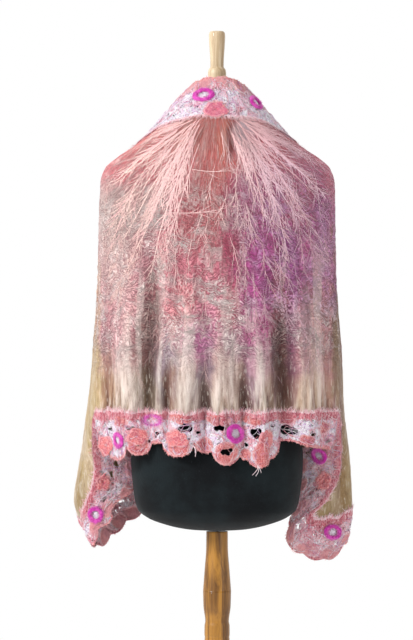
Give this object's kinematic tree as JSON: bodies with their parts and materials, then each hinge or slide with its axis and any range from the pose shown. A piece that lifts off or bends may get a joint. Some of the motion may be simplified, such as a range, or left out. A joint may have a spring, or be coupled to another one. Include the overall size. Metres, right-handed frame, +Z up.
{
  "type": "silk scarf on dress form",
  "caption": "Hand-dyed silk scarf with felted lace border and magenta felt rings, gathered at nape and hem, draped round a limbless black dress form on a turned wooden stand.",
  "frame": {"origin": "centre of the stand's underside on the floor, on the axis of the pole", "axes": "+Z up along the pole, +Y towards the wearer's front, so the pictured back faces -Y, and +X to the right in the picture"},
  "size_m": [0.5058, 0.3217, 1.62],
  "materials": {
    "dyed_silk": "thin hand-dyed silk with a soft sheen, pink to khaki",
    "felted_lace": "fuzzy felted wool lace",
    "magenta_felt": "matte felt",
    "salmon_felt": "matte felt",
    "black_jersey": "matte knit cover over padding",
    "pale_wood": "pale turned wood, satin",
    "golden_wood": "golden-brown turned wood, satin"
  },
  "bodies": {
    "root": {"felt_ring_01": "magenta_felt", "felt_ring_02": "magenta_felt", "felt_ring_03": "magenta_felt", "felt_ring_04": "magenta_felt", "felt_ring_05": "magenta_felt", "felt_ring_06": "magenta_felt", "felt_ring_07": "magenta_felt", "felt_ring_08": "magenta_felt", "felt_ring_09": "magenta_felt", "felt_ring_10": "magenta_felt", "felt_ring_11": "magenta_felt", "felt_ring_12": "magenta_felt", "felt_ring_13": "magenta_felt", "felt_ring_14": "magenta_felt", "felt_ring_15": "magenta_felt", "felt_ring_16": "magenta_felt", "felt_rosette_01": "salmon_felt", "felt_rosette_02": "salmon_felt", "felt_rosette_03": "salmon_felt", "felt_rosette_04": "salmon_felt", "felt_rosette_05": "salmon_felt", "felt_rosette_06": "salmon_felt", "felt_rosette_07": "salmon_felt", "felt_rosette_08": "salmon_felt", "felt_rosette_09": "salmon_felt", "lace_collar": "felted_lace", "lace_hem_back": "felted_lace", "lace_left_end": "felted_lace", "lace_left_front": "felted_lace", "lace_left_side": "felted_lace", "lace_right_end": "felted_lace", "lace_right_front": "felted_lace", "lace_right_side": "felted_lace", "silk_back": "dyed_silk", "silk_left_front": "dyed_silk", "silk_right_front": "dyed_silk", "form_torso": "black_jersey", "form_neck_knob": "pale_wood", "form_pole": "golden_wood", "form_base": "golden_wood"}
  },
  "joints": []
}
